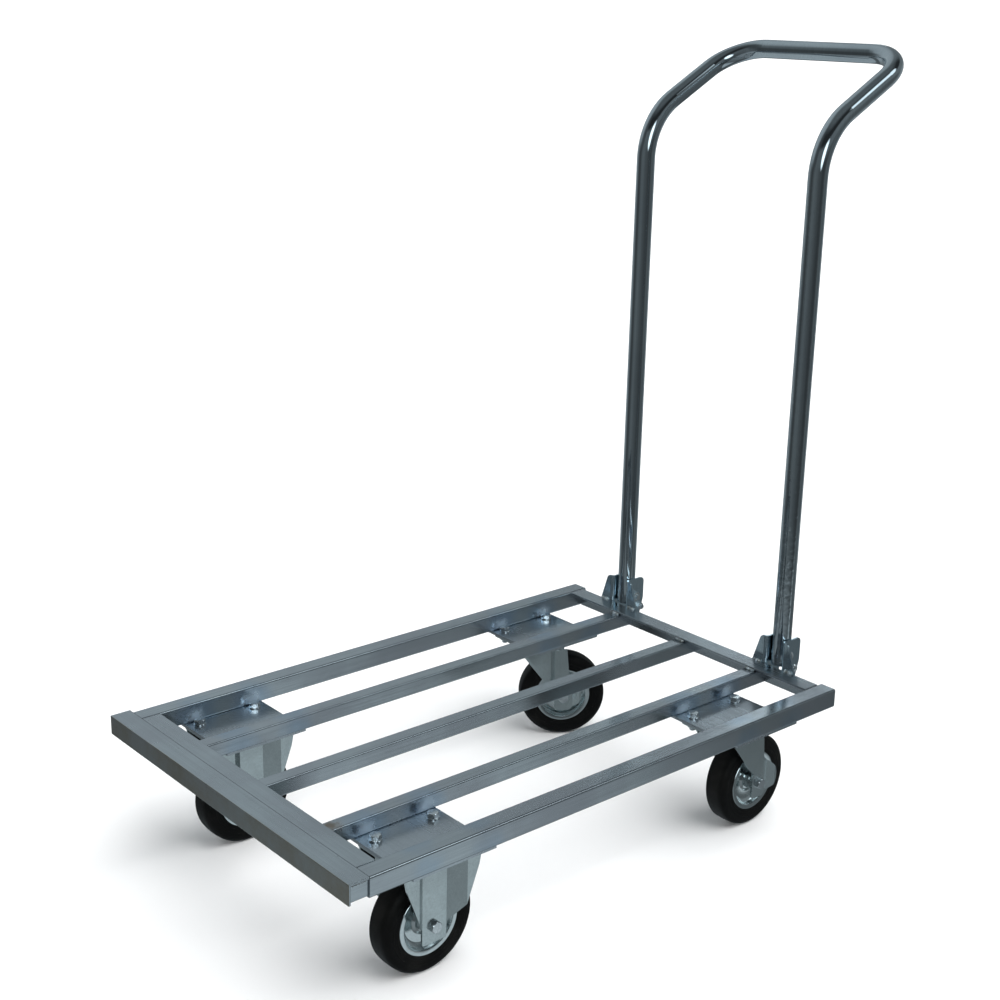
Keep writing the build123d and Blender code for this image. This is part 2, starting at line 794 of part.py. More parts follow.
tie_nut_height = nut_height * tie_bolt_diameter / bolt_diameter
tie_nut_flats = hex_across_flats * tie_bolt_diameter / bolt_diameter
sides = (1, -1)
nodes["handle_pivot_bolts"] = [cross_bolt(s, handle_x, pivot_z, pivot_diameter, nut_height) for s in sides]
nodes["handle_pivot_nuts"] = [
    cross_nut(s, handle_x, pivot_z, pivot_diameter, hex_across_flats, nut_height) for s in sides
]
nodes["bracket_tie_bolts"] = [cross_bolt(s, tie_x, tie_z, tie_bolt_diameter, tie_nut_height) for s in sides]
nodes["bracket_tie_nuts"] = [
    cross_nut(s, tie_x, tie_z, tie_bolt_diameter, tie_nut_flats, tie_nut_height) for s in sides
]
nodes["handle_tube"] = handle_tube()

nodes["bumper_angle"] = bumper_angle()
nodes["left_slide_bar"] = slide_bar(1)
nodes["right_slide_bar"] = slide_bar(-1)
nodes["bumper_weld_beads"] = bumper_beads()
nodes["slide_stop_screws"] = [stop_screw(s) for s in sides]

corner_names = {
    "front_left": (front_caster_x, 1),
    "front_right": (front_caster_x, -1),
    "rear_left": (rear_caster_x, 1),
    "rear_right": (rear_caster_x, -1),
}
all_bolt_places = []
for name, (x, side) in corner_names.items():
    nodes[name + "_mount_plate"] = mount_plate(x, side)
    all_bolt_places += bolt_places(x, side * caster_offset)
nodes["mount_bolts"] = [mount_bolt(x, y) for x, y in all_bolt_places]
nodes["mount_washers"] = [mount_washer(x, y) for x, y in all_bolt_places]
nodes["mount_nuts"] = [mount_nut(x, y) for x, y in all_bolt_places]

front_places = [Pos(front_caster_x, side * caster_offset, 0) for side in sides]
nodes["front_left_fork"] = placed(front_places[0], fixed_fork())
nodes["front_right_fork"] = placed(front_places[1], fixed_fork())
nodes["front_axle_bolts"] = [place * axle_bolt() for place in front_places]
nodes["front_axle_nuts"] = [place * axle_nut() for place in front_places]
nodes["front_axle_sleeves"] = [place * axle_sleeve() for place in front_places]

wheel_places = {"front_left": front_places[0], "front_right": front_places[1]}
for name, side, yaw in (("rear_left", 1, rear_left_yaw), ("rear_right", -1, rear_right_yaw)):
    pivot = Pos(rear_caster_x, side * caster_offset, 0)
    turned_pivot = pivot * Rot(0, 0, yaw)
    at_axle = turned_pivot * Pos(caster_trail, 0, 0)
    wheel_places[name] = at_axle
    nodes[name + "_swivel_plate"] = placed(pivot, swivel_plate())
    nodes[name + "_king_pin"] = placed(pivot, king_pin())
    nodes[name + "_fork"] = placed(turned_pivot, swivel_fork())
    nodes[name + "_bearing_balls"] = placed(turned_pivot, bearing_balls())
    nodes[name + "_axle_bolt"] = placed(at_axle, axle_bolt())
    nodes[name + "_axle_nut"] = placed(at_axle, axle_nut())
    nodes[name + "_axle_sleeve"] = placed(at_axle, axle_sleeve())

for name, place in wheel_places.items():
    nodes[name + "_tyre"] = placed(place, tyre())
    nodes[name + "_rim"] = placed(place, rim())
    nodes[name + "_roller_bearing"] = placed(place, roller_bearing())

for name, shape in nodes.items():
    solids = [solid for piece in as_list(shape) for solid in piece.solids()]
    body = solids[0] if len(solids) == 1 else Compound(solids)
    export_step(body, "parts/" + name + ".step")
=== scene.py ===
import json

import bpy
import numpy as np
from mathutils import Matrix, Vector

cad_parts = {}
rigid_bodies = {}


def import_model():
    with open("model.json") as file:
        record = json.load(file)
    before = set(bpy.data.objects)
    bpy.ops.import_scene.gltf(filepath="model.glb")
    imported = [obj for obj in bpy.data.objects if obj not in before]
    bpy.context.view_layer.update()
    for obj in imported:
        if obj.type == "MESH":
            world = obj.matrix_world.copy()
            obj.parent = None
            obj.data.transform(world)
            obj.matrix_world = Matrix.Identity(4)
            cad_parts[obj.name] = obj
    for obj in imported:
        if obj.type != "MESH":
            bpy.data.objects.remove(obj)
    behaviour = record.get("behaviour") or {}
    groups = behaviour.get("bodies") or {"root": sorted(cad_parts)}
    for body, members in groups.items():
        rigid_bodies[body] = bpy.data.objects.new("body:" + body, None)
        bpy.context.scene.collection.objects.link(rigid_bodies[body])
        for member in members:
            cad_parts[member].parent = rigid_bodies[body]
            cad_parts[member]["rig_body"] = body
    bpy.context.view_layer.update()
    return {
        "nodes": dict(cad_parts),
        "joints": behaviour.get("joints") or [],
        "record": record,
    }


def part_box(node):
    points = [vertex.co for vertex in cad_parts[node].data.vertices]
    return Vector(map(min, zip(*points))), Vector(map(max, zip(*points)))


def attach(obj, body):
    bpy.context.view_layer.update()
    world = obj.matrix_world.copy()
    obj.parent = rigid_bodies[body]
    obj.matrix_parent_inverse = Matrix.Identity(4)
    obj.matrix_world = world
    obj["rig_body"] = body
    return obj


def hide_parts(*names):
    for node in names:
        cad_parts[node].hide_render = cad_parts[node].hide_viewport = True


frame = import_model()

# Camera. It stands off the front right corner of the cart, at chest height, and looks
# along the deck towards the handle.
camera_place = (-1.2974, -1.4138, 1.0360)
azimuth, elevation, roll = np.radians((-40.8, 17.4, 1.17))
backward = np.array((
    np.sin(azimuth) * np.cos(elevation),
    -np.cos(azimuth) * np.cos(elevation),
    np.sin(elevation),
))
level_right = np.array((np.cos(azimuth), np.sin(azimuth), 0.0))
level_up = np.cross(backward, level_right)
camera_right = np.cos(roll) * level_right + np.sin(roll) * level_up
camera_up = np.cos(roll) * level_up - np.sin(roll) * level_right
camera_data = bpy.data.cameras.new("camera")
camera_data.sensor_width = 36.0
camera_data.lens = 57.48
camera = bpy.data.objects.new("camera", camera_data)
bpy.context.scene.collection.objects.link(camera)
camera_axes = np.identity(4)
camera_axes[:3] = np.column_stack((camera_right, camera_up, backward, camera_place))
camera.matrix_world = Matrix(camera_axes.tolist())
bpy.context.scene.camera = camera
bpy.context.scene.view_settings.view_transform = "Standard"


# Studio. A pale floor that curves up far away all round, and one broad soft light
# overhead. Neither is mirrored in the steel, which shows a dim room with four bright
# panes instead.
def add(tree, kind, options=None, **sockets):
    """A shader node of that kind, with its options set and its sockets filled or linked."""
    made = tree.nodes.new("ShaderNode" + kind)
    for option, value in (options or {}).items():
        setattr(made, option, value)
    for socket, value in sockets.items():
        target = made.inputs[socket.replace("_", " ")]
        if isinstance(value, bpy.types.NodeSocket):
            tree.links.new(value, target)
        else:
            target.default_value = value
    return made


def new_material(name):
    """A material with an empty node tree, its Principled shader and its object coordinates."""
    material = bpy.data.materials.new(name)
    material.use_nodes = True
    tree = material.node_tree
    tree.nodes.clear()
    shader = add(tree, "BsdfPrincipled")
    add(tree, "OutputMaterial", Surface=shader.outputs["BSDF"])
    coordinates = add(tree, "TexCoord").outputs["Object"]
    return material, tree, shader, coordinates


def grid_mesh(name, points):
    """A mesh of quads over a grid of points, rows by columns by 3: each quad joins a point to
    the next one in its row and to the two below them."""
    rows, columns = points.shape[:2]
    index = np.arange(rows * columns).reshape(rows, columns)
    quads = np.stack((index[:-1, :-1], index[:-1, 1:], index[1:, 1:], index[1:, :-1]), axis=-1)
    mesh = bpy.data.meshes.new(name)
    mesh.from_pydata(points.reshape(-1, 3).tolist(), [], quads.reshape(-1, 4).tolist())
    mesh.polygons.foreach_set("use_smooth", np.ones(len(mesh.polygons), bool))
    mesh.update()
    return mesh


def link(name, mesh, material):
    """An object at the origin that shows a mesh in one material."""
    made = bpy.data.objects.new(name, mesh)
    bpy.context.scene.collection.objects.link(made)
    mesh.materials.append(material)
    return made


# The floor's height is the square of the distance past the flat part, times its curve.
floor_half, floor_flat, floor_curve, floor_steps = 16.0, 8.0, 0.12, 129
across = np.linspace(-floor_half, floor_half, floor_steps)
floor_x, floor_y = np.meshgrid(across, across, indexing="ij")
rise = floor_curve * np.maximum(0.0, np.hypot(floor_x, floor_y) - floor_flat) ** 2
floor_material, _, shader, _ = new_material("pale_floor")
shader.inputs["Base Color"].default_value = (0.86, 0.86, 0.86, 1)
shader.inputs["Roughness"].default_value = 0.9
floor = link("floor", grid_mesh("floor", np.dstack((floor_x, floor_y, rise))), floor_material)
floor.visible_glossy = False

world = bpy.data.worlds.new("dim_room")
bpy.context.scene.world = world
world.use_nodes = True
tree = world.node_tree
tree.nodes.clear()


def maths(tree, operation, *values):
    """One step of arithmetic on sockets and numbers."""
    made = add(tree, "Math", {"operation": operation})
    for place, value in enumerate(values):
        if isinstance(value, bpy.types.NodeSocket):
            tree.links.new(value, made.inputs[place])
        else:
            made.inputs[place].default_value = value
    return made.outputs["Value"]


def between(tree, value, low, high, to_low=0.0, to_high=1.0):
    """A value spread from low..high to to_low..to_high, with soft ends."""
    made = add(
        tree, "MapRange", {"interpolation_type": "SMOOTHSTEP"},
        Value=value, From_Min=low, From_Max=high, To_Min=to_low, To_Max=to_high,
    )
    return made.outputs["Result"]


def tinted(tree, share, first, second):
    """A colour that goes from first to second by a share from 0 to 1."""
    made = add(tree, "Mix", {"data_type": "RGBA"})
    for place, value in ((0, share), (6, first), (7, second)):
        if isinstance(value, bpy.types.NodeSocket):
            tree.links.new(value, made.inputs[place])
        else:
            made.inputs[place].default_value = value
    return made.outputs[2]


def grey(brightness):
    """An opaque grey."""
    return (brightness, brightness, brightness, 1)


def room_ring(tree, compass, stops):
    """A ring of brightness round the room, from (degrees, brightness) stops."""
    made = add(tree, "ValToRGB", Fac=compass)
    ramp = made.color_ramp
    ramp.interpolation = "B_SPLINE"
    for degrees, brightness in stops:
        stop = ramp.elements.new(degrees / 360 + 0.5)
        stop.color = grey(brightness)
    first_brightness = stops[0][1]
    ramp.elements[0].color = ramp.elements[-1].color = grey(first_brightness)
    return made.outputs["Color"]


direction = add(tree, "TexCoord").outputs["Generated"]
apart = add(tree, "SeparateXYZ", Vector=direction)
east, north, height = (apart.outputs[name] for name in "XYZ")
compass = maths(tree, "MULTIPLY_ADD", maths(tree, "ARCTAN2", north, east), 1 / (2 * np.pi), 0.5)
floor_ring = room_ring(tree, compass, [
    (-160, 0.30), (-120, 0.26), (-80, 0.13), (-36, 0.10), (0, 0.10), (40, 0.11), (70, 0.14),
    (122, 0.13), (139, 0.27), (165, 0.28),
])
level_ring = room_ring(tree, compass, [
    (-165, 0.15), (-141, 0.11), (-118, 0.09), (-90, 0.05), (-70, 0.06), (-52, 0.17),
    (-35, 0.10), (-15, 0.14), (5, 0.42), (22, 0.22), (42, 0.15), (62, 0.22), (84, 0.52),
    (104, 0.26), (126, 0.10), (146, 0.05), (162, 0.10),
])
high_ring = room_ring(tree, compass, [
    (-150, 0.15), (-90, 0.18), (-30, 0.22), (5, 0.18), (34, 0.19), (41, 0.25),
    (46, 0.30), (52, 0.39), (60, 0.42), (75, 0.50), (122, 0.44), (136, 0.10), (165, 0.06),
])
south_side = between(tree, north, -0.30, -0.52)
east_side = between(tree, east, 0.20, 0.40)
drop = maths(tree, "MAXIMUM", maths(tree, "ABSOLUTE", height), 0.05)
slope = maths(tree, "DIVIDE", east, drop)
near_corner = maths(tree, "MULTIPLY", south_side, east_side)
sunlit = maths(tree, "MULTIPLY", near_corner, between(tree, slope, 1.30, 1.56, 1.0, 0.0))
lower = tinted(tree, sunlit, floor_ring, grey(0.50))
room = tinted(tree, between(tree, height, -0.31, -0.38), level_ring, lower)
room = tinted(tree, between(tree, height, 0.05, 0.30), room, high_ring)
steep_down = between(tree, height, -0.53, -0.62)
bright_floor = maths(tree, "MULTIPLY", steep_down, between(tree, north, 0.0, 0.2))
room = tinted(tree, bright_floor, room, grey(0.45))
steep_up = between(tree, height, 0.50, 0.62)
dark_ceiling = maths(tree, "MULTIPLY", steep_up, between(tree, north, 0.35, -0.05))
room = tinted(tree, dark_ceiling, room, grey(0.03))
room = tinted(tree, between(tree, height, 0.76, 0.97), room, grey(0.14))
# Each pane: the direction to its middle, the cosines of its edge and its core, its brightness.
panes = [
    ((0.649, 0.632, 0.423), 0.99945, 0.99985, 1.8),
    ((0.716, 0.573, 0.400), 0.99945, 0.99985, 1.8),
    ((-0.430, -0.840, 0.330), 0.955, 0.985, 2.4),
    ((0.500, -0.530, 0.685), 0.972, 0.992, 1.6),
]
for towards, edge, core, brightness in panes:
    facing = add(tree, "VectorMath", {"operation": "DOT_PRODUCT"})
    tree.links.new(direction, facing.inputs[0])
    facing.inputs[1].default_value = towards
    pane = between(tree, facing.outputs["Value"], edge, core)
    room = tinted(tree, pane, room, grey(brightness))
room_tint = add(tree, "VectorMath", {"operation": "MULTIPLY"})
tree.links.new(room, room_tint.inputs[0])
room_tint.inputs[1].default_value = (0.87, 1.0, 1.06)
room = add(tree, "Background", Color=room_tint.outputs["Vector"])
add(tree, "OutputWorld", Surface=room.outputs["Background"])


def aim(lamp, place, target):
    """Puts a lamp at a place and turns it to shine on a target."""
    along = np.array(place, float) - np.array(target, float)
    along /= np.linalg.norm(along)
    side = np.cross((0.0, 0.0, 1.0), along)
    side /= np.linalg.norm(side)
    axes = np.identity(4)
    axes[:3] = np.column_stack((side, np.cross(along, side), along, place))
    lamp.matrix_world = Matrix(axes.tolist())


overhead_data = bpy.data.lights.new("overhead", "SUN")
overhead_data.energy = 4.3
overhead_data.angle = np.radians(70)
overhead = bpy.data.objects.new("overhead", overhead_data)
overhead.visible_glossy = False
bpy.context.scene.collection.objects.link(overhead)
aim(overhead, (0.35, -0.75, 1.6), (0, 0, 0))


# Side rails and slats. Square steel tube, drawn to size, so that faint lines run along it,
# then zinc plated after welding. The heat of the welds at the mount plates leaves pale
# bluish smears, and one slat has a small rust stain where it meets the front angle.
def noise(tree, coordinates, scale, detail=3.0, rough=0.5, stretch=None):
    """Soft noise from 0 to 1, drawn out along an axis where stretch is given."""
    if stretch is not None:
        coordinates = add(tree, "Mapping", Vector=coordinates, Scale=stretch).outputs["Vector"]
    made = add(tree, "TexNoise", Vector=coordinates, Scale=scale, Detail=detail, Roughness=rough)
    return made.outputs["Fac"]


def plated(name, colour, shade, roughness, spread=0.10, grain=None, cloud=7.0, relief=0.06):
    """Zinc plate: two tints in soft clouds, fine grain that follows the drawn length, and a
    roughness that drifts with both. Returns the material, and what a layer on it needs."""
    material, tree, shader, coordinates = new_material(name)
    shader.inputs["Metallic"].default_value = 1.0
    clouds = between(tree, noise(tree, coordinates, cloud, 4.0, 0.6), 0.32, 0.70)
    tint = tinted(tree, clouds, colour, shade)
    stretch = grain or (1.0, 1.0, 1.0)
    lines = noise(tree, coordinates, 420.0, 3.0, 0.65, stretch)
    line_colour = tuple(0.72 * channel for channel in colour[:3]) + (1,)
    tint = tinted(tree, between(tree, lines, 0.30, 0.72, 0.0, 0.35), tint, line_colour)
    specks = noise(tree, coordinates, 1500.0, 2.0, 0.6)
    half_clouds = maths(tree, "MULTIPLY", clouds, 0.5)
    drift = maths(tree, "ADD", half_clouds, maths(tree, "MULTIPLY", lines, 0.5))
    rough = between(tree, drift, 0.15, 0.85, roughness - spread / 2, roughness + spread / 2)
    height = maths(tree, "ADD", lines, maths(tree, "MULTIPLY", specks, 0.5))
    bump = add(tree, "Bump", Strength=relief, Distance=0.0004, Height=height)
    tree.links.new(bump.outputs["Normal"], shader.inputs["Normal"])
    tree.links.new(tint, shader.inputs["Base Color"])
    tree.links.new(rough, shader.inputs["Roughness"])
    return material, tree, shader, coordinates, tint, rough


def wear(node, material):
    """A CAD node keeps its shape and takes a material."""
    target = frame["nodes"][node].data
    target.materials.clear()
    target.materials.append(material)


rail_low, rail_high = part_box("left_side_rail")
slat_low, slat_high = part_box("right_slat")
plate_low, plate_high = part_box("front_left_mount_plate")
rear_plate_low, rear_plate_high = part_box("rear_left_mount_plate")
zinc, zinc_shade = (0.56, 0.61, 0.64, 1), (0.50, 0.52, 0.56, 1)
along_x = (0.012, 1.0, 1.0)
along_y = (1.0, 0.012, 1.0)
along_z = (1.0, 1.0, 0.012)


def heat_marked(name, grain):
    """Plated tube with a pale burnt spot and a blue halo at each end of each mount plate. The
    spot follows the distance to the nearest tack, folded over the plates and both sides."""
    material, tree, shader, coordinates, tint, rough = plated(name, zinc, zinc_shade, 0.22, grain=grain)
    tack_inset, tack_rise, tack_squash, raggedness = 0.016, 0.006, 1.3, 0.016
    apart = add(tree, "SeparateXYZ", Vector=coordinates)
    tack_half = (plate_high.x - plate_low.x) / 2 - tack_inset
    offsets = [
        maths(tree, "ABSOLUTE", maths(tree, "SUBTRACT", apart.outputs["X"], (low.x + high.x) / 2))
        for low, high in ((plate_low, plate_high), (rear_plate_low, rear_plate_high))
    ]
    away_x = maths(tree, "SUBTRACT", maths(tree, "MINIMUM", *offsets), tack_half)
    mid_y = (rail_low.y - slat_low.y) / 2
    half_y = (rail_low.y + slat_low.y) / 2
    side_y = maths(tree, "SUBTRACT", maths(tree, "ABSOLUTE", apart.outputs["Y"]), mid_y)
    away_y = maths(tree, "SUBTRACT", maths(tree, "ABSOLUTE", side_y), half_y)
    above_tack = maths(tree, "SUBTRACT", apart.outputs["Z"], plate_high.z + tack_rise)
    away_z = maths(tree, "MULTIPLY", above_tack, tack_squash)
    squares = [maths(tree, "MULTIPLY", value, value) for value in (away_x, away_y, away_z)]
    reach = maths(tree, "SQRT", maths(tree, "ADD", maths(tree, "ADD", *squares[:2]), squares[2]))
    stray = maths(tree, "SUBTRACT", noise(tree, coordinates, 70.0, 4.0), 0.5)
    drift = maths(tree, "MULTIPLY", stray, raggedness)
    ragged = maths(tree, "ADD", reach, drift)
    halo = between(tree, ragged, 0.014, 0.040, 0.50, 0.0)
    tint = tinted(tree, halo, tint, (0.36, 0.50, 0.66, 1))
    smear = between(tree, ragged, 0.0, 0.020, 0.70, 0.0)
    tint = tinted(tree, smear, tint, (0.58, 0.74, 0.88, 1))
    rough = maths(tree, "ADD", rough, maths(tree, "MULTIPLY", smear, 0.16))
    metal = maths(tree, "SUBTRACT", 1.0, maths(tree, "MULTIPLY", smear, 0.42))
    tree.links.new(metal, shader.inputs["Metallic"])
    stain_back, stain_across = 0.034, 0.009
    stain_place = (rail_low.x + stain_back, slat_low.y + stain_across, slat_high.z)
    away = add(tree, "VectorMath", {"operation": "DISTANCE"})
    tree.links.new(coordinates, away.inputs[0])
    away.inputs[1].default_value = stain_place
    crumbs = maths(tree, "MULTIPLY", noise(tree, coordinates, 140.0, 5.0), 0.02)
    blotch = maths(tree, "ADD", away.outputs["Value"], crumbs)
    rust = between(tree, blotch, 0.012, 0.024, 0.65, 0.0)
    tint = tinted(tree, rust, tint, (0.30, 0.20, 0.11, 1))
    rough = maths(tree, "ADD", rough, maths(tree, "MULTIPLY", rust, 0.3))
    tree.links.new(tint, shader.inputs["Base Color"])
    tree.links.new(rough, shader.inputs["Roughness"])
    return material


tube_zinc = heat_marked("tube_zinc", along_x)
for node in ("left_side_rail", "right_side_rail", "left_slat", "middle_slat", "right_slat"):
    wear(node, tube_zinc)

# Cross members. Angle-section steel, cut and welded between the rails, with its edges a
# little rounded by rolling. The tops were ground flush at the joints.


def softened(node, width, material, segments=2):
    """A CAD node's own shape with its sharp edges rounded by a bevel, in the node's place."""
    source = frame["nodes"][node]
    mesh = source.data.copy()
    mesh.name = node + "_edged"
    mesh.materials.clear()
    made = link(node + "_edged", mesh, material)
    weld = made.modifiers.new("weld", "WELD")
    weld.merge_threshold = 0.00001
    flat = made.modifiers.new("flat", "DECIMATE")
    flat.decimate_type = "DISSOLVE"
    flat.angle_limit = np.radians(1.0)
    bevel = made.modifiers.new("bevel", "BEVEL")
    bevel.width = width
    bevel.segments = segments
    bevel.limit_method = "ANGLE"
    bevel.angle_limit = np.radians(40)
    bevel.harden_normals = True
    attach(made, source["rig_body"])
    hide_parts(node)
    return made


angle_zinc = plated("angle_zinc", zinc, zinc_shade, 0.26, grain=along_y)[0]
for node in ("front_cross_angle", "rear_cross_angle"):
    softened(node, 0.0007, angle_zinc, 3)

# Pull-out front bar. The same angle section, a little duller and browner on its front face,
# where it meets doors and kerbs. A dark line along its back edge is painted shade, for the
# shadow in the gap at the front cross member.
bumper_low, bumper_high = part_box("bumper_angle")


def knocked_and_seam_shaded_finish():
    """Worn plate: a brown film on the front face that fades upward and dark specks, with a
    near-black line of painted shade along the back edge of the top."""
    material, tree, shader, coordinates, tint, rough = plated(
        "bumper_zinc", zinc, zinc_shade, 0.28, grain=along_y,
    )
    apart = add(tree, "SeparateXYZ", Vector=coordinates)
    skin, edge = 0.0004, 0.0012
    front = between(tree, apart.outputs["X"], bumper_low.x + skin, bumper_low.x + edge, 1.0, 0.0)
    patches = between(tree, noise(tree, coordinates, 16.0, 5.0, 0.65), 0.30, 0.70, 0.35, 1.0)
    film = maths(tree, "MULTIPLY", front, patches)
    tint = tinted(tree, film, tint, (0.40, 0.37, 0.31, 1))
    # Painted shade: a near-black line along the back edge of the top, for the shadow in the gap at the
    # front cross member.
    seam_shade_from, seam_shade_to, seam_shade_share = 0.0017, 0.0008, 0.85
    back = between(tree, apart.outputs["X"], bumper_high.x - seam_shade_from, bumper_high.x - seam_shade_to)
    tint = tinted(tree, maths(tree, "MULTIPLY", back, seam_shade_share), tint, (0.05, 0.055, 0.06, 1))
    specks = between(tree, noise(tree, coordinates, 240.0, 3.0, 0.7), 0.66, 0.72, 0.0, 0.5)
    tint = tinted(tree, specks, tint, (0.22, 0.22, 0.20, 1))
    tree.links.new(tint, shader.inputs["Base Color"])
    dull = maths(tree, "ADD", rough, maths(tree, "MULTIPLY", film, 0.14))
    tree.links.new(dull, shader.inputs["Roughness"])
    return material


softened("bumper_angle", 0.0009, knocked_and_seam_shaded_finish(), 3)

# Weld beads. Short runs laid by hand: the slats are tacked to the rear angle, the handle
# brackets' wings are welded down to it, and rough runs hold the front bar to its two slides.


def solid_mesh(name, grids, looped=False):
    """One mesh of closed bodies. Each grid is rows by columns by 3 points: the columns join
    round, and the rows end in flat caps, or join round as well when looped. The UV map has
    the share of the way round in u and the distance along the rows, in metres, in v."""
    points, faces, uvs = [], [], []
    first = 0
    for grid in grids:
        rows, columns = grid.shape[:2]
        index = first + np.arange(rows * columns).reshape(rows, columns)
        below = np.roll(index, -1, axis=0) if looped else index[1:]
        above = index if looped else index[:-1]
        quads = np.stack((above, np.roll(above, -1, 1), np.roll(below, -1, 1), below), axis=-1)
        quads = quads.reshape(-1, 4)
        flat = grid.reshape(-1, 3)
        corner = flat[quads - first]
        across = np.cross(corner[:, 2] - corner[:, 0], corner[:, 3] - corner[:, 1])
        centre = corner.mean(axis=1) - flat.mean(axis=0)
        inside_out = (across * centre).sum() < 0
        gaps = np.linalg.norm(np.diff(grid, axis=0), axis=2).mean(axis=1)
        travel = np.concatenate(((0.0,), np.cumsum(gaps)))
        if looped:
            travel = np.append(travel, travel[-1] + np.linalg.norm(grid[0] - grid[-1], axis=1).mean())
        u = np.arange(columns + 1) / columns
        v_low = np.repeat(travel[:-1], columns)
        v_high = np.repeat(travel[1:], columns)
        u_low = np.tile(u[:-1], len(travel) - 1)
        u_high = np.tile(u[1:], len(travel) - 1)
        uv = np.stack((
            np.stack((u_low, u_high, u_high, u_low), axis=1),
            np.stack((v_low, v_low, v_high, v_high), axis=1),
        ), axis=-1)
        if inside_out:
            quads = quads[:, ::-1]
            uv = uv[:, ::-1]
        faces += quads.tolist()
        uvs.append(uv.reshape(-1, 2))
        if not looped:
            ends = [index[0][::-1], index[-1]]
            if inside_out:
                ends = [end[::-1] for end in ends]
            faces += [end.tolist() for end in ends]
            uvs.append(np.repeat([(0.0, travel[0])], columns, axis=0))
            uvs.append(np.repeat([(0.0, travel[-1])], columns, axis=0))
        points.append(flat)
        first += rows * columns
    mesh = bpy.data.meshes.new(name)
    mesh.from_pydata(np.concatenate(points).tolist(), [], faces)
    layer = mesh.uv_layers.new(name="UVMap")
    layer.data.foreach_set("uv", np.concatenate(uvs).reshape(-1).astype(np.float32))
    mesh.polygons.foreach_set("use_smooth", np.ones(len(mesh.polygons), bool))
    mesh.set_sharp_from_angle(angle=np.radians(32))
    mesh.update()
    return mesh


def bead(start, end, rise, width, height, ripple=0.0035, seed=0.0):
    """Points of a weld bead: a line of overlapping drops, each a rounded bump along the run,
    with its width and its height wandering by a few slow waves."""
    start, end, rise = (np.array(value, float) for value in (start, end, rise))
    length = np.linalg.norm(end - start)
    along = (end - start) / length
    sideways = np.cross(rise, along)
    rows = max(12, int(length / 0.0006))
    way = np.linspace(0.0, 1.0, rows)[:, None]
    turn = np.linspace(0.0, 2 * np.pi, 20, endpoint=False)[None, :]
    drop = 0.80 + 0.20 * np.abs(np.sin(np.pi * way * length / ripple + seed))
    wander = 1.0 + 0.14 * np.sin(37 * way + 5 * seed) + 0.10 * np.sin(83 * way + 2 + seed)
    taper = np.sqrt(np.clip(1.0 - (2 * way - 1) ** 6, 0.02, 1.0))
    size = drop * wander * taper
    lumps = 1.0 + 0.06 * np.sin(3 * turn + 21 * way + seed)
    out = width / 2 * size * lumps * np.cos(turn)
    up = height * size * lumps * np.sin(turn)
    path = start + (end - start) * way
    return path[:, None, :] + out[..., None] * sideways + up[..., None] * rise


def weld_finish():
    """Weld metal under zinc: bright drops with dull, slightly burnt hollows between them."""
    material, tree, shader, coordinates = new_material("weld_metal")
    shader.inputs["Metallic"].default_value = 1.0
    lumps = noise(tree, coordinates, 420.0, 4.0, 0.6)
    burnt = between(tree, noise(tree, coordinates, 130.0, 3.0), 0.45, 0.62)
    tint = tinted(tree, burnt, (0.86, 0.90, 0.92, 1), (0.60, 0.60, 0.57, 1))
    tree.links.new(tint, shader.inputs["Base Color"])
    tree.links.new(between(tree, lumps, 0.2, 0.8, 0.24, 0.42), shader.inputs["Roughness"])
    bump = add(tree, "Bump", Strength=0.35, Distance=0.0006, Height=lumps)
    tree.links.new(bump.outputs["Normal"], shader.inputs["Normal"])
    return material


weld_metal = weld_finish()
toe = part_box("rear_cross_angle")[0]
deck_top = rail_high.z
root, tack_end, tack_lift = 0.0004, 0.0022, 0.0014
tack_width, tack_height = 0.0044, 0.0022
tacks = []
for number, node in enumerate(("left_slat", "middle_slat", "right_slat")):
    low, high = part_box(node)
    start = (toe.x - root, low.y + tack_end, high.z + tack_lift)
    end = (toe.x - root, high.y - tack_end, high.z + tack_lift)
    tacks.append(bead(start, end, (0, 0, 1), tack_width, tack_height, seed=1.7 * number))
wing_inner, wing_outer, wing_lift = 0.020, 0.0335, 0.0006
wing_width, wing_height = 0.0050, 0.0024
for number, node in enumerate(("left_handle_bracket", "right_handle_bracket")):
    low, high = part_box(node)
    middle = (low.y + high.y) / 2
    for side in (-1, 1):
        start = (low.x - root, middle + side * wing_inner, deck_top + wing_lift)
        end = (low.x - root, middle + side * wing_outer, deck_top + wing_lift)
        tacks.append(bead(start, end, (0, 0, 1), wing_width, wing_height, seed=number + 0.4 * side))
frame_welds = link("frame_welds", solid_mesh("frame_welds", tacks), weld_metal)
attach(frame_welds, "frame")

bar_low, bar_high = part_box("left_slide_bar")
outer_width, inner_width, run_height, run_ripple = 0.0042, 0.0036, 0.0023, 0.0042
outer_out, inner_in, run_lift, run_front, run_back = 0.0002, 0.0012, 0.0003, 0.0010, 0.0006
runs = []
for side in (-1, 1):
    outer = side * (bar_high.y + outer_out)
    inner = side * (bar_low.y + inner_in)
    for number, (y, width) in enumerate(((outer, outer_width), (inner, inner_width))):
        start = (bar_low.x + run_front, y, bar_high.z + run_lift)
        end = (bumper_high.x - run_back, y, bar_high.z + run_lift)
        seed = side + 2.0 * number
        runs.append(bead(start, end, (0, 0, 1), width, run_height, run_ripple, seed=seed))
bumper_welds = link("bumper_welds", solid_mesh("bumper_welds", runs), weld_metal)
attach(bumper_welds, "extension")
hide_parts("bumper_weld_beads")

# Mount plates. Flat steel plates with their rolling lines across the cart, welded under
# the rails and slats, one above each caster.
plate_zinc = plated(
    "plate_zinc", (0.60, 0.65, 0.69, 1), (0.53, 0.56, 0.60, 1), 0.26, grain=along_y, relief=0.04,
)[0]
corners = ("front_left", "front_right", "rear_left", "rear_right")
for corner in corners:
    softened(corner + "_mount_plate", 0.0003, plate_zinc)

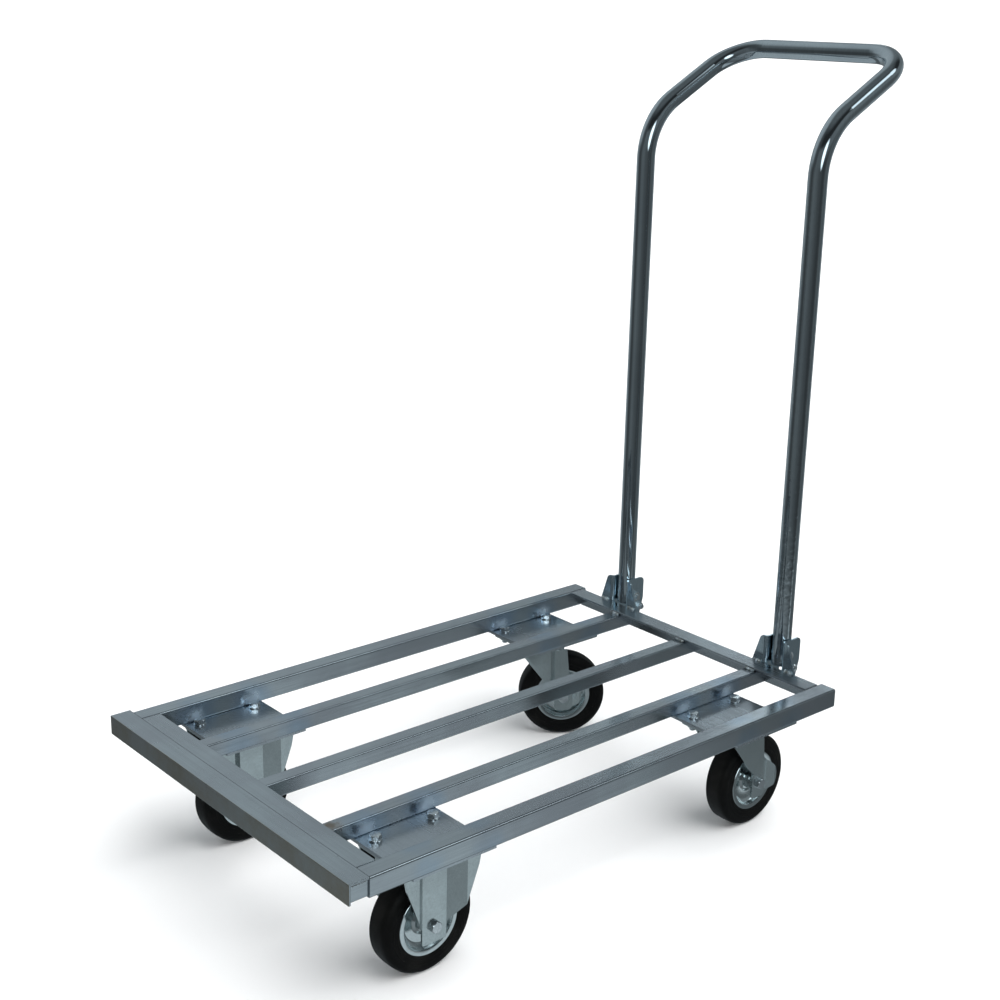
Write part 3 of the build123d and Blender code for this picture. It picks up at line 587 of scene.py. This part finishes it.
# Mount bolts, washers and nuts. M8 set screws, cold headed with chamfered corners, their
# threads rolled; the heads and washers sit on the plates and the nuts are underneath.
hardware_facets = 48
across_flats, thread_pitch, thread_depth = 0.0130, 0.00125, 0.0006


def turned(outline, facets, threaded=()):
    """Points of a turned body about the z axis, from (radius, height, six) rows. A row with
    six set is also cut to a hexagon across the flats. Rows inside the threaded span, from low
    to high, carry a helical groove: its depth follows the height less the turn's share."""
    turns = np.linspace(0.0, 2 * np.pi, facets, endpoint=False)
    rows = np.array(outline, float)
    radius = rows[:, 0:1] * np.ones_like(turns)
    height = rows[:, 1:2] * np.ones_like(turns)
    flat = across_flats / 2 / np.cos(np.mod(turns, np.pi / 3) - np.pi / 6)
    radius = np.where(rows[:, 2:3] > 0, np.minimum(radius, flat), radius)
    if threaded:
        cut = (rows[:, 1:2] > threaded[0]) & (rows[:, 1:2] < threaded[1])
        groove = 0.5 - 0.5 * np.cos(2 * np.pi * height / thread_pitch - turns)
        radius = np.where(cut, radius - thread_depth * groove, radius)
    return np.stack((radius * np.cos(turns), radius * np.sin(turns), height), axis=-1)


def set_screw(under_head, head_height, tail):
    """A hexagon screw seated at height 0: its head stands above, and its shank runs down
    through what it holds, with the thread on its last stretch."""
    corner = across_flats / 2 / np.cos(np.pi / 6)
    cut, shank_radius, rows_per_turn = 0.0006, 0.0040, 8
    head = [
        (0.0030, head_height, 0), (0.0056, head_height, 0), (0.0062, head_height, 1),
        (corner - cut, head_height - 0.0005, 1), (corner, head_height - 0.0010, 1),
        (corner, 0.0004, 1), (corner - cut, 0.0, 1),
    ]
    thread_count = int((tail - under_head) / thread_pitch * rows_per_turn)
    thread_rows = np.linspace(-under_head, -tail + 0.0006, thread_count)
    shank = [(shank_radius, 0.0, 0), (shank_radius, -under_head + 0.0001, 0)]
    shank += [(shank_radius, height, 0) for height in thread_rows]
    shank += [(0.0034, -tail + 0.0001, 0), (0.0030, -tail, 0)]
    return turned(head + shank, hardware_facets, (-tail + 0.0004, -under_head))


def nut_shape(height, bore=0.0040):
    """A hexagon nut from height 0 up, chamfered at both ends, with a plain bore."""
    corner = across_flats / 2 / np.cos(np.pi / 6)
    face, cut, lead = 0.0060, 0.0006, 0.0005
    return turned([
        (bore + lead, 0.0, 0), (face, 0.0, 1), (corner - cut, 0.0004, 1), (corner, 0.0010, 1),
        (corner, height - 0.0010, 1), (corner - cut, height - 0.0004, 1), (face, height, 1),
        (bore + lead, height, 0), (bore, height - lead, 0), (bore, lead, 0),
    ], hardware_facets)


def washer_shape(outer, bore, thickness):
    """A flat washer from height 0 up, its edges softened by tumbling."""
    soft = 0.0003
    return turned([
        (bore + soft, 0.0, 0), (outer - soft, 0.0, 0),
        (outer, soft, 0), (outer, thickness - soft, 0),
        (outer - soft, thickness, 0), (bore + soft, thickness, 0),
        (bore, thickness - soft, 0), (bore, soft, 0),
    ], hardware_facets)


def set_at(points, place, axis=(0, 0, 1), spin=0.0):
    """Points turned by spin about z, tipped so that z lies along an axis, and moved to a place."""
    axis = np.array(axis, float) / np.linalg.norm(axis)
    aside = np.array((1.0, 0, 0)) if abs(axis[2]) > 0.9 else np.array((0, 0, 1.0))
    right = np.cross(aside, axis)
    right /= np.linalg.norm(right)
    up = np.cross(axis, right)
    first = np.cos(spin) * right + np.sin(spin) * up
    second = np.cos(spin) * up - np.sin(spin) * right
    return points @ np.array((first, second, axis)) + np.array(place)


fastener_zinc = plated(
    "fastener_zinc", (0.86, 0.90, 0.92, 1), (0.74, 0.78, 0.81, 1), 0.20, cloud=90.0,
)[0]
caster_plate_thickness = 0.003
plate_top = plate_high.z
caster_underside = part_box("front_left_fork")[1].z - caster_plate_thickness
washer_thickness, washer_outer, washer_bore = 0.0016, 0.0080, 0.0042
head_height, nut_height, bolt_tail, thread_start = 0.0053, 0.0065, 0.0045, 0.0002
spacing_x, spacing_y = 0.080, 0.060
seat = plate_top + washer_thickness
nut_foot = caster_underside - nut_height
hidden = seat - nut_foot + thread_start
whole = seat - nut_foot + bolt_tail
washer = washer_shape(washer_outer, washer_bore, washer_thickness)
bolts, washers, nuts = [], [], []
joints = {joint["name"]: joint for joint in frame["joints"]}
caster_y = abs(joints["rear_left_swivel_turn"]["pos_m"][1])
middle_x = [(plate_low.x + plate_high.x) / 2, (rear_plate_low.x + rear_plate_high.x) / 2]
places = [
    (x + i * spacing_x / 2, side * caster_y + j * spacing_y / 2)
    for x in middle_x for side in (-1, 1) for i in (-1, 1) for j in (-1, 1)
]
for number, (x, y) in enumerate(places):
    spin = 0.9 * number
    bolts.append(set_at(set_screw(hidden, head_height, whole), (x, y, seat), spin=spin))
    washers.append(set_at(washer, (x, y, plate_top)))
    nuts.append(set_at(nut_shape(nut_height), (x, y, nut_foot), spin=-spin))
for name, shapes, looped in (
    ("mount_bolts", bolts, False), ("mount_washers", washers, True), ("mount_nuts", nuts, True),
):
    made = link(name + "_cut", solid_mesh(name + "_cut", shapes, looped), fastener_zinc)
    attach(made, "frame")
    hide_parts(name)

# Casters' forks and the rear ones' swivel plates. Pressed from sheet, their edges rounded,
# and zinc plated to a paler, duller finish than the frame.
caster_zinc = plated(
    "caster_zinc", (0.68, 0.75, 0.76, 1), (0.63, 0.69, 0.70, 1), 0.24, spread=0.05, cloud=22.0,
    relief=0.04,
)[0]
for corner in corners:
    softened(corner + "_fork", 0.0005, caster_zinc)
for side in ("left", "right"):
    softened(f"rear_{side}_swivel_plate", 0.0004, caster_zinc)

# Axle bolts and nuts. The same M8 hexagon hardware, one bolt through each wheel, its head
# on the cart's right.
fork_outside = 0.025
axle_hold = 2 * fork_outside + nut_height
front_screws, front_nuts = [], []
for corner in corners:
    spin_joint = joints[corner + "_wheel_spin"]
    centre, axle = np.array(spin_joint["pos_m"]), np.array(spin_joint["axis"], float)
    screw = set_at(
        set_screw(axle_hold - thread_start, head_height, axle_hold + bolt_tail),
        centre - fork_outside * axle, -axle, 0.35,
    )
    nut = set_at(nut_shape(nut_height), centre + fork_outside * axle, axle, 0.2)
    if corner.startswith("front"):
        front_screws.append(screw)
        front_nuts.append(nut)
    else:
        for name, shape, looped in (("bolt", screw, False), ("nut", nut, True)):
            label = f"{corner}_axle_{name}"
            made = link(label + "_cut", solid_mesh(label + "_cut", [shape], looped), fastener_zinc)
            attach(made, frame["nodes"][label]["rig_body"])
            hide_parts(label)
for name, pair, looped in (
    ("front_axle_bolts", front_screws, False), ("front_axle_nuts", front_nuts, True),
):
    made = link(name + "_cut", solid_mesh(name + "_cut", pair, looped), fastener_zinc)
    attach(made, "frame")
    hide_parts(name)

# Tyres. Solid black rubber, moulded in one piece: a flat tread with a parting line round
# its middle, rounded shoulders, and two fine rings on each side wall.


def row_distance(tree):
    """The distance along a turned body's rows, in metres, from the mesh's own UV map."""
    uv = add(tree, "UVMap", {"uv_map": "UVMap"}).outputs["UV"]
    return add(tree, "SeparateXYZ", Vector=uv).outputs["Y"]


def rubber_finish(tread_middle):
    """Black rubber: fine grain, a greyer worn band on the tread, and a little dust."""
    material, tree, shader, coordinates = new_material("tyre_rubber")
    reach = row_distance(tree)
    dust = between(tree, noise(tree, coordinates, 28.0, 5.0, 0.6), 0.42, 0.75)
    grain = noise(tree, coordinates, 900.0, 3.0, 0.6)
    off_middle = maths(tree, "ABSOLUTE", maths(tree, "SUBTRACT", reach, tread_middle))
    tread = between(tree, off_middle, 0.005, 0.011, 1.0, 0.0)
    scuffs = between(tree, noise(tree, coordinates, 60.0, 4.0), 0.3, 0.7, 0.3, 1.0)
    worn = maths(tree, "MULTIPLY", tread, scuffs)
    tint = tinted(tree, worn, (0.0022, 0.0022, 0.0021, 1), (0.0075, 0.0075, 0.0070, 1))
    tint = tinted(tree, maths(tree, "MULTIPLY", dust, 0.30), tint, (0.016, 0.0150, 0.0130, 1))
    tree.links.new(tint, shader.inputs["Base Color"])
    tree.links.new(between(tree, grain, 0.2, 0.8, 0.50, 0.68), shader.inputs["Roughness"])
    shader.inputs["Specular IOR Level"].default_value = 0.22
    bump = add(tree, "Bump", Strength=0.25, Distance=0.0004, Height=grain)
    tree.links.new(bump.outputs["Normal"], shader.inputs["Normal"])
    return material


def arc(centre, radius, start, end, count):
    """Rows (radius, height, 0) along a circular arc in the section plane, from degrees to degrees."""
    angles = np.radians(np.linspace(start, end, count))
    return [(centre[0] + radius * np.sin(a), centre[1] + radius * np.cos(a), 0) for a in angles]


wheel_facets = 128
tyre_low, tyre_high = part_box("front_left_tyre")
tyre_radius = (tyre_high.x - tyre_low.x) / 2
side_wall = [
    (0.0376, 0.0126, 0), (0.0404, 0.0126, 0), (0.0404, 0.0145, 0), (0.0411, 0.0155, 0),
    (0.0419, 0.0158, 0), (0.0438, 0.01605, 0), (0.0441, 0.01645, 0), (0.0446, 0.01650, 0),
    (0.0450, 0.01620, 0), (0.0490, 0.01655, 0), (0.0494, 0.01690, 0), (0.0499, 0.01692, 0),
    (0.0503, 0.01668, 0), (0.0530, 0.0168, 0),
]
shoulder = arc((0.0530, 0.0068), 0.0100, 4, 62, 10)[1:]
shoulder = [(min(r, tyre_radius), h, s) for r, h, s in shoulder]
crown = [
    (tyre_radius - 0.0001, 0.0045, 0), (tyre_radius, 0.0030, 0),
    (tyre_radius, 0.0012, 0), (tyre_radius, 0.0004, 0),
]
half_tyre = side_wall + shoulder + [(0.0623, 0.0070, 0)] + crown
tyre_rows = half_tyre + [(r, -h, s) for r, h, s in half_tyre[::-1]]
gaps = [np.hypot(b[0] - a[0], b[1] - a[1]) for a, b in zip(tyre_rows, tyre_rows[1:])]
rubber = rubber_finish(float(sum(gaps) / 2))
tyre_shape = turned(tyre_rows, wheel_facets)
for corner in corners:
    spin_joint = joints[corner + "_wheel_spin"]
    shape = set_at(tyre_shape, spin_joint["pos_m"], spin_joint["axis"])
    made = link(corner + "_tyre_moulded", solid_mesh(corner + "_tyre_moulded", [shape], True), rubber)
    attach(made, frame["nodes"][corner + "_tyre"]["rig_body"])
    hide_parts(corner + "_tyre")

# Rims. Two discs pressed from bright zinc-plated sheet, back to back: a flat lip, a deep
# polished dish and a step round the hub tube, all with drawn radii and faint turning rings.


def rim_finish():
    """Bright plate with fine rings round the axle, which follow the distance out from it."""
    material, tree, shader, coordinates, tint, rough = plated(
        "rim_zinc", (0.82, 0.88, 0.89, 1), (0.72, 0.77, 0.78, 1), 0.11, cloud=30.0, relief=0.03,
    )
    along = maths(tree, "MULTIPLY", row_distance(tree), 2600.0)
    rings = add(tree, "TexNoise", {"noise_dimensions": "1D"}, W=along, Detail=3.0)
    bump = add(tree, "Bump", Strength=0.07, Distance=0.0003, Height=rings.outputs["Fac"])
    tree.links.new(bump.outputs["Normal"], shader.inputs["Normal"])
    ringed = between(tree, rings.outputs["Fac"], 0.3, 0.7, -0.02, 0.04)
    tree.links.new(maths(tree, "ADD", rough, ringed), shader.inputs["Roughness"])
    return material


rim_rows = [
    (0.0374, 0.0002, 0), (0.0374, 0.0128, 0), (0.0376, 0.0130, 0), (0.0400, 0.0130, 0),
    (0.0402, 0.0132, 0), (0.0402, 0.0148, 0), (0.0398, 0.0152, 0), (0.0350, 0.0152, 0),
    (0.0343, 0.0150, 0), (0.0339, 0.0144, 0), (0.0336, 0.0135, 0), (0.0330, 0.0108, 0),
    (0.0326, 0.0097, 0), (0.0319, 0.0089, 0), (0.0306, 0.0080, 0), (0.0292, 0.0068, 0),
    (0.0282, 0.0063, 0), (0.0272, 0.0062, 0), (0.0190, 0.0062, 0), (0.0180, 0.0063, 0),
    (0.0170, 0.0068, 0), (0.0148, 0.0083, 0), (0.0136, 0.0090, 0), (0.0122, 0.0092, 0),
    (0.0122, 0.0072, 0), (0.0136, 0.0070, 0), (0.0170, 0.0048, 0), (0.0184, 0.0042, 0),
    (0.0272, 0.0042, 0), (0.0290, 0.0047, 0), (0.0312, 0.0064, 0), (0.0332, 0.0074, 0),
    (0.0352, 0.0100, 0), (0.0354, 0.0090, 0), (0.0354, 0.0002, 0),
]
hub_rows = [
    (0.0117, 0.0205, 0), (0.0120, 0.0202, 0), (0.0120, -0.0202, 0), (0.0117, -0.0205, 0),
    (0.0103, -0.0205, 0), (0.0100, -0.0202, 0), (0.0100, 0.0202, 0), (0.0103, 0.0205, 0),
]
rim_zinc = rim_finish()
far_rows = [(r, -h, s) for r, h, s in rim_rows]
rim_shapes = [turned(rows, wheel_facets) for rows in (rim_rows, far_rows, hub_rows)]
for corner in corners:
    spin_joint = joints[corner + "_wheel_spin"]
    shapes = [set_at(shape, spin_joint["pos_m"], spin_joint["axis"]) for shape in rim_shapes]
    made = link(corner + "_rim_pressed", solid_mesh(corner + "_rim_pressed", shapes, True), rim_zinc)
    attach(made, frame["nodes"][corner + "_rim"]["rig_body"])
    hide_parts(corner + "_rim")

# Roller bearings, axle sleeves, swivel balls and king pins. Hardened steel, ground bright
# and left with a film of oil; they keep their CAD shapes inside the wheels and forks.
bearing_steel = plated(
    "bearing_steel", (0.45, 0.46, 0.47, 1), (0.36, 0.36, 0.36, 1), 0.24, cloud=60.0,
)[0]

# Handle brackets. Sheet pressed and folded to two cheeks and two wings, welded to the rear
# cross member. Their zinc is painted brighter and bluer than the frame's: a painted
# reflection, for the light on their cheeks.
bracket_zinc = plated(
    "bracket_zinc", (0.70, 0.83, 0.90, 1), (0.60, 0.71, 0.78, 1), 0.18, grain=along_z,
)[0]
for node in ("left_handle_bracket", "right_handle_bracket"):
    softened(node, 0.0004, bracket_zinc, 3)

# Handle. One drawn round tube, bent at four places, polished and bright chromed. It hangs
# on its two pivot bolts between the brackets' cheeks.
handle_chrome = plated(
    "handle_chrome", (0.58, 0.64, 0.67, 1), (0.50, 0.55, 0.59, 1), 0.06, spread=0.03,
    relief=0.006, grain=along_z,
)[0]

# Every CAD node still showing takes its slot's finish.
slots = {
    "frame_zinc": tube_zinc, "handle_chrome": handle_chrome, "bearing_steel": bearing_steel,
    "fastener_zinc": fastener_zinc, "bracket_zinc": bracket_zinc, "rim_zinc": rim_zinc,
    "caster_zinc": caster_zinc, "rubber_tyre": rubber, "weld_metal": weld_metal,
}
for entry in frame["record"]["subparts"]:
    if not frame["nodes"][entry["node"]].hide_render:
        wear(entry["node"], slots[entry["material_slot"]])
